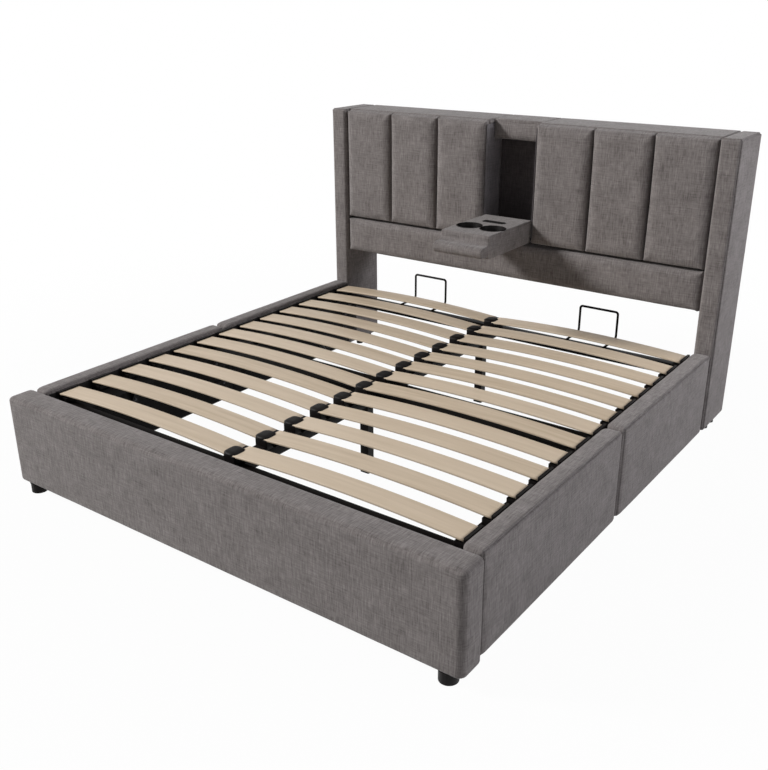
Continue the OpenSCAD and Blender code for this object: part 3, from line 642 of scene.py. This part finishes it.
def front_pad(name, node, seed, roll, depth, crown, drawn, step, grow=(0, 0), forward=0.0):
    """A stapled pad: flat at the back, rolled over at the front, and blown up over its filling as cloth.

    grow moves its lower and upper edge, and forward its front, where the cloth goes further than the solid.
    The grid goes on behind the flat back and is pressed flat there, so that the roll meets the wall steeply.
    """
    lo, hi = (np.array(v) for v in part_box(node))
    lo[1] -= forward
    lo[2] += grow[0]
    hi[2] += grow[1]
    rolls = np.array([roll, depth, roll])
    deep = hi + np.array([0, depth * BURIED_SHARE, 0])
    plain, quads, axes = grid_box([grid_lines(lo[a], deep[a], rolls[a], step) for a in range(3)])
    points, out = rolled(plain, lo, deep, rolls)
    share = (plain - (lo + hi) / 2) / ((hi - lo) / 2)
    front = np.clip(-out[:, 1], 0, 1)
    swell = crown * front * (1 - np.abs(share[:, 0]) ** FLATNESS_ACROSS) * (1 - share[:, 2] ** FLATNESS_UP)
    side = np.clip(np.abs(out[:, 0]), 0, 1) * np.clip(1 - share[:, 2] ** 2, 0, 1)
    swell -= drawn * side
    swell += PAD_SLACK * ripple(points, PAD_WAVES, seed)
    points = points + out * swell[:, None]
    points[:, 1] = np.minimum(points[:, 1], hi[1])
    uvs = grid_uv(plain, quads, axes, (seed, seed * PAD_SHIFT))
    made = new_piece(name, points, quads, uvs, CLOTH, "base", [node])
    blown_up(made, points[:, 1] > hi[1] - STAPLED_STRIP, PAD_SWELL, lo - np.array([0, FRONT_ROOM, 0]), hi)


def blown_up(piece, held, cap, lo, hi):
    """Blows a cover up over its filling in a cloth simulation.

    Held points stay, no point moves further than the cap, and the cover stays inside the box lo to hi.
    Sideways it moves less, as its neighbours hold it there.
    """
    staples = piece.vertex_groups.new(name="staples")
    staples.add([int(i) for i in np.flatnonzero(held)], 1.0, "REPLACE")
    cloth = piece.modifiers.new("cloth", "CLOTH")
    for key, value in CLOTH_SETTINGS.items():
        setattr(cloth.settings, key, value)
    cloth.settings.vertex_group_mass = staples.name
    cloth.settings.effector_weights.gravity = 0
    cloth.collision_settings.use_collision = False
    cloth.point_cache.frame_start = 1
    cloth.point_cache.frame_end = CLOTH_FRAMES
    for number in range(1, CLOTH_FRAMES + 1):
        bpy.context.scene.frame_set(number)
    seen = piece.evaluated_get(bpy.context.evaluated_depsgraph_get())
    before = np.array([v.co for v in piece.data.vertices])
    after = np.array([v.co for v in seen.data.vertices])
    moved = after - before
    far = np.linalg.norm(moved, axis=1, keepdims=True)
    moved *= cap * np.tanh(far / cap) / np.maximum(far, TINY)
    moved[:, 0] *= SIDEWAYS_SHARE
    piece.modifiers.remove(cloth)
    piece.vertex_groups.clear()
    piece.data.vertices.foreach_set("co", np.clip(before + moved, lo, hi).ravel())
    piece.data.update()
    bpy.context.scene.frame_set(1)


def softened(node, material, width, segments=2, grow=0.0):
    """Stands for a CAD node with the same shape, with small rounds on its edges, or slightly thicker."""
    source = frame["nodes"][node]
    bm = bmesh.new()
    bm.from_mesh(source.data)
    bmesh.ops.remove_doubles(bm, verts=bm.verts, dist=WELD)
    bmesh.ops.dissolve_limit(bm, angle_limit=math.radians(FLAT_ANGLE), verts=bm.verts, edges=bm.edges)
    if grow:
        bm.normal_update()
        for vertex, normal in [(v, v.normal.copy()) for v in bm.verts]:
            vertex.co += normal * grow
    mesh = bpy.data.meshes.new(node + "_finished")
    bm.to_mesh(mesh)
    bm.free()
    mesh.materials.clear()
    mesh.materials.append(material)
    for face in mesh.polygons:
        face.use_smooth = True
        face.material_index = 0
    made = bpy.data.objects.new(node + "_finished", mesh)
    bpy.context.scene.collection.objects.link(made)
    if width:
        bevel = made.modifiers.new("rounds", "BEVEL")
        bevel.width = width
        bevel.segments = segments
        bevel.limit_method = "ANGLE"
        bevel.angle_limit = math.radians(ROUND_ANGLE)
        bevel.harden_normals = True
    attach(made, source["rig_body"])
    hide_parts(node)
    apply_modifiers(made)


def apply_modifiers(piece):
    graph = bpy.context.evaluated_depsgraph_get()
    mesh = bpy.data.meshes.new_from_object(piece.evaluated_get(graph))
    piece.modifiers.clear()
    piece.data = mesh


def islands(node):
    """Lowest and highest corners of each separate solid of a CAD node."""
    mesh = frame["nodes"][node].data
    co = np.array([v.co for v in mesh.vertices])
    keys = {}
    parent = list(range(len(co)))

    def root(i):
        while parent[i] != i:
            parent[i] = parent[parent[i]]
            i = parent[i]
        return i

    for i, c in enumerate(co):
        key = tuple(np.round(c / ISLAND_WELD).astype(int))
        if key in keys:
            parent[root(i)] = root(keys[key])
        keys[key] = i
    for edge in mesh.edges:
        a, b = edge.vertices
        parent[root(a)] = root(b)
    groups = {}
    for i in range(len(co)):
        groups.setdefault(root(i), []).append(i)
    return [(co[g].min(0), co[g].max(0)) for g in groups.values()]


def slat_rows(side):
    """Corners of each slat's solid on one side, from the foot to the head."""
    return sorted(islands(f"slats_{side}"), key=lambda box: box[0][1])


# Upholstered boards

def footboard():
    lo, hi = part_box("footboard_cover")
    # The rear side below the turned-in cloth is black, which also paints the shade there
    soft_board("footboard_upholstery", lo - FOOT_CLOTH_LOW, hi + FOOT_CLOTH_HIGH, FOOT_ROLLS,
               ["footboard_cover"], SEEDS["footboard"], crown=FOOT_CROWN, seams=[(0, 1, 1, 1), (0, 0, 1, 1)],
               lined_shaded_sides=[(1, 1)])


def rails():
    for number, end in enumerate(("foot", "head")):
        for far, side in enumerate(("left", "right")):
            node = f"rail_cover_{side}_{end}"
            lo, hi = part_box(node)
            outward = 1 if far else -1
            outer, inner = (hi, lo) if far else (lo, hi)
            outer.x += outward * RAIL_OUTSIDE
            inner.x -= outward * RAIL_INSIDE
            hi.z += RAIL_ABOVE
            lo.z -= RAIL_BELOW
            lo.y += RAIL_GAP
            if end == "foot":
                hi.y -= RAIL_GAP
            # The inner side below the turned-in cloth is black, which also paints the shade there
            soft_board(f"rail_upholstery_{side}_{end}", lo, hi, RAIL_ROLLS, [node],
                       SEEDS["rails"] + number + 2 * far, crown=RAIL_CROWN,
                       seams=[(0, far, 2, 1), (0, far, 1, 1), (0, far, 1, 0)], lined_shaded_sides=[(0, 1 - far)])


def wings():
    for far, side in enumerate(("left", "right")):
        node = f"wing_cover_{side}"
        lo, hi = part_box(node)
        soft_board(f"wing_upholstery_{side}", lo, hi, WING_ROLLS, [node], SEEDS["wings"] + far,
                   crown=WING_CROWN, seams=[(0, far, 1, 0), (0, far, 2, 1), (1, 0, 2, 1)])


def headboard_pads():
    channels = [f"{side}_{i}" for side in ("left", "right") for i in (1, 2, 3)]
    for number, channel in enumerate(channels):
        front_pad(f"channel_{channel}", f"channel_pad_{channel}", SEEDS["channels"] + number * NEXT_CHANNEL,
                  **CHANNEL_PAD, grow=(-PAD_DROP, 0))
    front_pad("lower_padding", "lower_pad", SEEDS["lower_pad"], **LOWER_PAD, grow=(-PAD_DROP, -PAD_DROP))
    front_pad("niche_header", "niche_header_pad", SEEDS["header"], **HEADER_PAD, grow=(0, HEADER_RISE),
              forward=HEADER_FORWARD)


def niche_reveals():
    """Cloth glued to the side walls of the niche, from behind the channel pads to its back."""
    bottom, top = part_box("lower_pad")[1].z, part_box("niche_box")[1].z
    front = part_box("channel_pad_left_1")[0].y + PAD_ROLL
    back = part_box("niche_header_pad")[1].y
    for side, sign in (("left", -1), ("right", 1)):
        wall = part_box(f"channel_pad_{side}_1")
        inner = wall[1].x if sign < 0 else wall[0].x
        xs = sorted((inner, inner - sign * REVEAL_THICK))
        made = soft_board(f"niche_reveal_{side}", (xs[0], front, bottom), (xs[1], back, top), REVEAL_ROLLS,
                          [], SEEDS["reveals"] + sign, tight=True)
        # The walls take the cloth toned for their shade: painted shade
        made.data.materials[0] = REVEAL_SHADED_CLOTH


def headboard_top():
    """The top cover, from wing to wing. It starts at the header over the niche, which is open above."""
    lo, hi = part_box("headboard_top_pad")
    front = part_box("channel_pad_left_1")[1].y
    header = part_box("niche_header_pad")[0].y - HEADER_FORWARD
    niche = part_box("niche_header_pad")[1].x
    parts = (("left", lo.x, -niche, front, ["headboard_top_pad"]), ("middle", -niche, niche, header, []),
             ("right", niche, hi.x, front, []))
    for number, (name, low_x, high_x, low_y, nodes) in enumerate(parts):
        soft_board(f"headboard_top_{name}", (low_x, low_y, lo.z), (high_x, hi.y, hi.z), TOP_ROLLS, nodes,
                   SEEDS["top"] + number, crown=TOP_CROWN, step=TOP_STEP)


# Tray

def tray_outline():
    """Side outline of the tray as points (y, z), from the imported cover's own corners."""
    lo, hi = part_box("tray_cover")
    top_front = lo.y + LIP_DEPTH
    nose = (lo.y + NOSE_R, lo.z + LIP_RISE + NOSE_R)
    scoop_z = nose[1] + NOSE_R + SCOOP_R
    points = []

    def arc(cy, cz, r, start, end, count):
        for i in range(count + 1):
            a = math.radians(start + (end - start) * i / count)
            points.append((cy + r * math.cos(a), cz + r * math.sin(a)))

    arc(hi.y - TRAY_HINGE_R, lo.z + TRAY_HINGE_R, TRAY_HINGE_R, -90, 0, 6)
    points.append((hi.y, lo.z + 2 * TRAY_HINGE_R))
    arc(hi.y - TRAY_HINGE_R - TRAY_TOP_R, hi.z - TRAY_TOP_R, TRAY_TOP_R, 0, 90, 3)
    arc(top_front + TRAY_EDGE_R, hi.z - TRAY_EDGE_R, TRAY_EDGE_R, 90, 180, 6)
    points.append((top_front, scoop_z + SCOOP_STRAIGHT))
    arc(top_front - SCOOP_R, scoop_z, SCOOP_R, 0, -90, 7)
    arc(nose[0], nose[1], NOSE_R, 90, 270, 14)
    points.append((top_front - LIP_TUCK, nose[1] - NOSE_R))
    arc(top_front + TRAY_EDGE_R, lo.z + TRAY_EDGE_R, TRAY_EDGE_R, 200, 270, 4)
    return points


def resampled(points, step):
    """The closed outline with extra points so that no side is longer than step."""
    kept = []
    for a, b in zip(points, points[1:] + points[:1]):
        count = max(1, math.ceil(math.dist(a, b) / step))
        kept += [tuple(p + (q - p) * i / count for p, q in zip(a, b)) for i in range(count)]
    return kept


def tray():
    """The tray's cover: its side outline drawn across from end to end, with rounded ends and open wells."""
    lo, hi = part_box("tray_cover")
    outline = np.array(resampled(tray_outline(), TRAY_STEP))
    along = np.roll(outline, -1, 0) - np.roll(outline, 1, 0)
    inward = np.stack([-along[:, 1], along[:, 0]], 1)
    inward /= np.maximum(np.linalg.norm(inward, axis=1, keepdims=True), TINY)
    xs = grid_lines(lo.x, hi.x, TRAY_SIDE_R, TRAY_STEP_ACROSS)
    points, faces, count = [], [], len(outline)
    for x in xs:
        into_round = max(0.0, TRAY_SIDE_R - min(x - lo.x, hi.x - x))
        pull = TRAY_SIDE_R - math.sqrt(max(0.0, TRAY_SIDE_R ** 2 - into_round ** 2))
        points += [(x, y, z) for y, z in outline + inward * pull]
    for i in range(len(xs) - 1):
        for j in range(count):
            k = (j + 1) % count
            faces.append((i * count + j, i * count + k, (i + 1) * count + k, (i + 1) * count + j))
    faces.append(tuple(range(count)))
    faces.append(tuple((len(xs) - 1) * count + j for j in reversed(range(count))))
    cover = new_piece("tray_upholstery", points, faces, None, CLOTH, "tray", ["tray_cover"])
    bm = bmesh.new()
    bm.from_mesh(cover.data)
    bmesh.ops.recalc_face_normals(bm, faces=bm.faces)
    bm.to_mesh(cover.data)
    bm.free()
    cut_wells(cover)
    box_uv(cover)
    for face in cover.data.polygons:
        face.use_smooth = True
    mark_sharp(cover, TRAY_SHARP)


def mark_sharp(piece, angle):
    """Marks the edges that bend by more than an angle in degrees, so that shading breaks there."""
    bm = bmesh.new()
    bm.from_mesh(piece.data)
    for edge in bm.edges:
        edge.smooth = edge.calc_face_angle(0.0) < math.radians(angle)
    bm.to_mesh(piece.data)
    bm.free()


def well_cutter(node, low, high):
    """A cylinder or box inside a liner's rim, which goes out through the top of the tray's cover."""
    size = high - low
    centre = (low + high) / 2
    bm = bmesh.new()
    if node == "cup_liners":
        radius = size[0] / 2 - WELL_RIM
        bmesh.ops.create_cone(bm, cap_ends=True, segments=WELL_SIDES, radius1=radius, radius2=radius,
                              depth=size[2] + WELL_EXTRA)
    else:
        bmesh.ops.create_cube(bm, size=1)
        across = (size[0] - 2 * WELL_RIM, size[1] - 2 * WELL_RIM, size[2] + WELL_EXTRA)
        bmesh.ops.scale(bm, vec=across, verts=bm.verts)
    bmesh.ops.translate(bm, vec=(centre[0], centre[1], centre[2] + WELL_RAISE), verts=bm.verts)
    mesh = bpy.data.meshes.new("cutter")
    bm.to_mesh(mesh)
    bm.free()
    cutter = bpy.data.objects.new("cutter", mesh)
    bpy.context.scene.collection.objects.link(cutter)
    return cutter


def cut_wells(cover):
    """Opens the cup wells and the slot in the cover, where their liners stand."""
    cutters = [well_cutter(node, *box) for node in ("cup_liners", "slot_liner") for box in islands(node)]
    for cutter in cutters:
        modifier = cover.modifiers.new("well", "BOOLEAN")
        modifier.operation = "DIFFERENCE"
        modifier.object = cutter
        modifier.solver = "EXACT"
    bpy.context.view_layer.update()
    apply_modifiers(cover)
    for cutter in cutters:
        bpy.data.objects.remove(cutter)


# Slats

def slat_section(width, thick, edge):
    """Rounded section of a slat as points (across, up) from its top middle."""
    corners = [(width / 2 - edge, -edge, 90, 0), (width / 2 - edge, -thick + edge, 0, -90),
               (-width / 2 + edge, -thick + edge, -90, -180), (-width / 2 + edge, -edge, 180, 90)]
    points = []
    for cx, cz, start, end in corners:
        for i in range(CORNER_STEPS + 1):
            a = math.radians(start + (end - start) * i / CORNER_STEPS)
            points.append((cx + edge * math.cos(a), cz + edge * math.sin(a)))
    return points


def slats():
    number = 0
    for side in ("left", "right"):
        points, faces, uvs = [], [], []
        for low, high in slat_rows(side):
            add_slat(points, faces, uvs, low, high, number)
            number += 1
        new_piece(f"bowed_slats_{side}", points, faces, uvs, BIRCH, "platform", [f"slats_{side}"])


def add_slat(points, faces, uvs, low, high, number):
    """Adds one slat, bent to the low arc of the photo, with its middle just above the top of its solid."""
    length = high[0] - low[0]
    crest = high[2] + SLAT_RISE
    radius = length ** 2 / (8 * SLAT_BOW) + SLAT_BOW / 2
    half = math.asin(length / 2 / radius)
    turns = [half * (2 * i / (SLAT_STATIONS - 1) - 1) for i in range(SLAT_STATIONS)]
    section = slat_section(high[1] - low[1], SLAT_THICK, SLAT_EDGE)
    sides = [math.dist(a, b) for a, b in zip(section, section[1:] + section[:1])]
    around = np.concatenate([[0], np.cumsum(sides)]) + number
    middle_x, middle_y = (low[0] + high[0]) / 2, (low[1] + high[1]) / 2
    first, count = len(points), len(section)
    for turn in turns:
        for across, up in section:
            r = radius + up
            x, z = middle_x + r * math.sin(turn), crest - radius + r * math.cos(turn)
            points.append((x, middle_y + across, z))
    for i in range(SLAT_STATIONS - 1):
        u0, u1 = (radius * turn + number * GRAIN_SHIFT for turn in turns[i:i + 2])
        a, b = first + i * count, first + (i + 1) * count
        for j in range(count):
            k = (j + 1) % count
            faces.append((a + j, b + j, b + k, a + k))
            uvs += [(u0, around[j]), (u1, around[j]), (u1, around[j + 1]), (u0, around[j + 1])]
    last = first + (SLAT_STATIONS - 1) * count
    for start, order in ((first, range(count)), (last, reversed(range(count)))):
        faces.append(tuple(start + j for j in order))
        uvs += [(across, number + END_SHIFT + up) for across, up in section]


def slat_holders():
    """Moulded holders on the centre tubes, with a low strip between them along the tubes.

    Each has a foot and a low pocket under both slats, and a dome on the left one.
    """
    low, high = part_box("centre_slat_holders")
    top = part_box("slats_left")[1].z + SLAT_RISE - SLAT_BOW + HOLDER_AROUND
    boxes = []
    for slat_low, slat_high in slat_rows("left"):
        front, back = slat_low[1] - HOLDER_AROUND, slat_high[1] + HOLDER_AROUND
        middle = (front + back) / 2
        dome_end = front + (back - front) * DOME_SHARE
        boxes += [((low.x, middle - HOLDER_FOOT_HALF, low.z),
                   (high.x, middle + HOLDER_FOOT_HALF, low.z + HOLDER_FOOT_HIGH), HOLDER_FOOT_ROUNDS),
                  ((-POCKET_HALF, front, low.z + POCKET_LIFT),
                   (POCKET_HALF, back, top - POCKET_DROP), POCKET_ROUNDS),
                  ((-DOME_LEFT, front - DOME_FORWARD, top - DOME_DEEP),
                   (DOME_RIGHT, dome_end, high.z), DOME_ROUNDS)]
    mouldings("slat_holders", boxes, ["centre_slat_holders"])
    beam_low, beam_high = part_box("centre_beams")
    strip = ((beam_low.x - STRIP_PAST, low.y, beam_high.z - STRIP_DOWN),
             (beam_high.x + STRIP_PAST, high.y, beam_high.z + STRIP_UP), STRIP_ROUNDS)
    mouldings("centre_strip", [strip], [])


def mouldings(name, boxes, nodes):
    """Black mouldings on the platform in one piece, each from its low corner, high corner and rounds."""
    points, faces = [], []
    for lo, hi, roll in boxes:
        lo, hi, roll = np.array(lo), np.array(hi), np.array(roll)
        plain, quads, _ = grid_box([grid_lines(lo[a], hi[a], roll[a], MOULDING_STEP) for a in range(3)])
        faces += [[v + len(points) for v in quad] for quad in quads]
        points += list(rolled(plain, lo, hi, roll)[0])
    new_piece(name, points, faces, None, PLASTIC, "platform", nodes)


# Rigid pieces that keep their solids' shape

def rigid_pieces():
    for node in ("frame_foot_half", "frame_head_half", "centre_beams", "centre_legs"):
        softened(node, STEEL, TUBE_ROUND)
    for node in ("rail_joint_plates", "corner_brackets", "rest_brackets", "lift_hinge_plates",
                 "strut_lower_brackets", "strut_upper_brackets", "tray_hinge_pins"):
        softened(node, STEEL, PLATE_ROUND)
    softened("outer_slat_caps", PLASTIC, CAP_ROUND, segments=3)
    for node in ("rest_bumpers", "feet", "leg_glides", "cup_liners", "slot_liner"):
        softened(node, PLASTIC, MOULDED_ROUND)
    for node in ("assembly_bolts", "frame_bolts", "lift_pivot_bolts"):
        softened(node, BLACK_ZINC, PLATE_ROUND)
    for side in ("left", "right"):
        softened(f"strut_tube_{side}", STRUT_PAINT, MOULDED_ROUND)
        softened(f"strut_rod_{side}", CHROME, PLATE_ROUND)
    softened("mattress_stops", STEEL, 0.0, grow=WIRE_EXTRA)


def painted_pieces():
    # The niche box's dark cloth also paints the shade inside the niche
    paint("niche_box", NICHE_DARK_AND_SHADE_CLOTH)
    paint("headboard_back_panel", BACK_CLOTH)
    # Their faces to the foot and head are black: turned-in cloth, and painted shade where the front board
    # shows between the pads
    for node in ("footboard_core", "headboard_front_board", "headboard_frame", "tray_box", "wing_core_left",
                 "wing_core_right"):
        paint(node, BOARD, ends=LINING_AND_SHADE_CLOTH)
    # Rail cores are black all over, which paints the shade where they show in the gaps between rails
    for node in (f"rail_core_{side}_{end}" for side in ("left", "right") for end in ("foot", "head")):
        paint(node, LINING_AND_SHADE_CLOTH)


def paint(node, material, ends=None):
    """Gives a CAD node a material and a UV map in metres, and leaves its shape alone.

    The faces to the foot and to the head take the ends' material: black where cloth is turned in over a
    board, which also paints the shade where the headboard's front board shows between its pads.
    """
    source = frame["nodes"][node]
    source.data.materials.clear()
    source.data.materials.append(material)
    if ends:
        source.data.materials.append(ends)
        for face in source.data.polygons:
            face.material_index = 1 if abs(face.normal.y) > FACING else 0
    box_uv(source)


# Stage and light

def background_seen(n):
    """1 where a camera, glossy or transmission ray looks at the background, so that it looks white."""
    path = n.node("ShaderNodeLightPath").outputs
    seen = n.math("ADD", path["Is Camera Ray"], path["Is Glossy Ray"])
    return n.math("ADD", seen, path["Is Transmission Ray"], True)


def pale_floor():
    """White where it is seen. Near the bed a little of the grey floor and its shadow shows through."""
    n = Nodes("pale_floor")
    n.finish(Base_Color=FLOOR_GREY, Roughness=0.9, Specular_IOR_Level=0.1)
    glow = n.node("ShaderNodeEmission", {"Color": WHITE, "Strength": 1.0}).outputs[0]
    away = n.node("ShaderNodeVectorMath", {0: n.coordinates("Object")}, operation="LENGTH").outputs["Value"]
    places = {"Value": away, "From Min": SHADE_FROM, "From Max": SHADE_TO, "To Min": SHADED_WHITE,
              "To Max": 1.0}
    fade = n.node("ShaderNodeMapRange", places, interpolation_type="SMOOTHSTEP").outputs[0]
    amount = n.math("MULTIPLY", background_seen(n), fade)
    mixed = n.node("ShaderNodeMixShader", {0: amount, 1: n.shader.outputs[0], 2: glow}).outputs[0]
    n.tree.links.new(mixed, n.tree.nodes["Material Output"].inputs[0])
    return n.material


def stage():
    mesh = bpy.data.meshes.new("floor")
    corners = [(x * FLOOR_REACH, y * FLOOR_REACH, 0) for x, y in ((-1, -1), (1, -1), (1, 1), (-1, 1))]
    mesh.from_pydata(corners, [], [(0, 1, 2, 3)])
    mesh.materials.append(pale_floor())
    floor = bpy.data.objects.new("floor", mesh)
    bpy.context.scene.collection.objects.link(floor)


def area_light(name, at, towards, side, power, colour):
    data = bpy.data.lights.new(name, "AREA")
    data.size = side
    data.energy = power
    data.color = colour
    lamp = bpy.data.objects.new(name, data)
    lamp.location = at
    lamp.rotation_euler = (Vector(towards) - Vector(at)).to_track_quat("-Z", "Y").to_euler()
    bpy.context.scene.collection.objects.link(lamp)


def light():
    for lamp in LAMPS:
        area_light(*lamp)
    world = bpy.data.worlds.new("studio")
    bpy.context.scene.world = world
    world.use_nodes = True
    n = Nodes.of_tree(world.node_tree)
    levels = {"Value": background_seen(n), "To Min": WORLD_FILL, "To Max": 1.0}
    back = n.tree.nodes["Background"]
    back.inputs["Color"].default_value = WHITE
    n.tree.links.new(n.node("ShaderNodeMapRange", levels).outputs[0], back.inputs["Strength"])


footboard()
rails()
wings()
headboard_pads()
niche_reveals()
headboard_top()
tray()
slats()
slat_holders()
rigid_pieces()
painted_pieces()
stage()
light()

bpy.context.scene.view_settings.view_transform = "Standard"
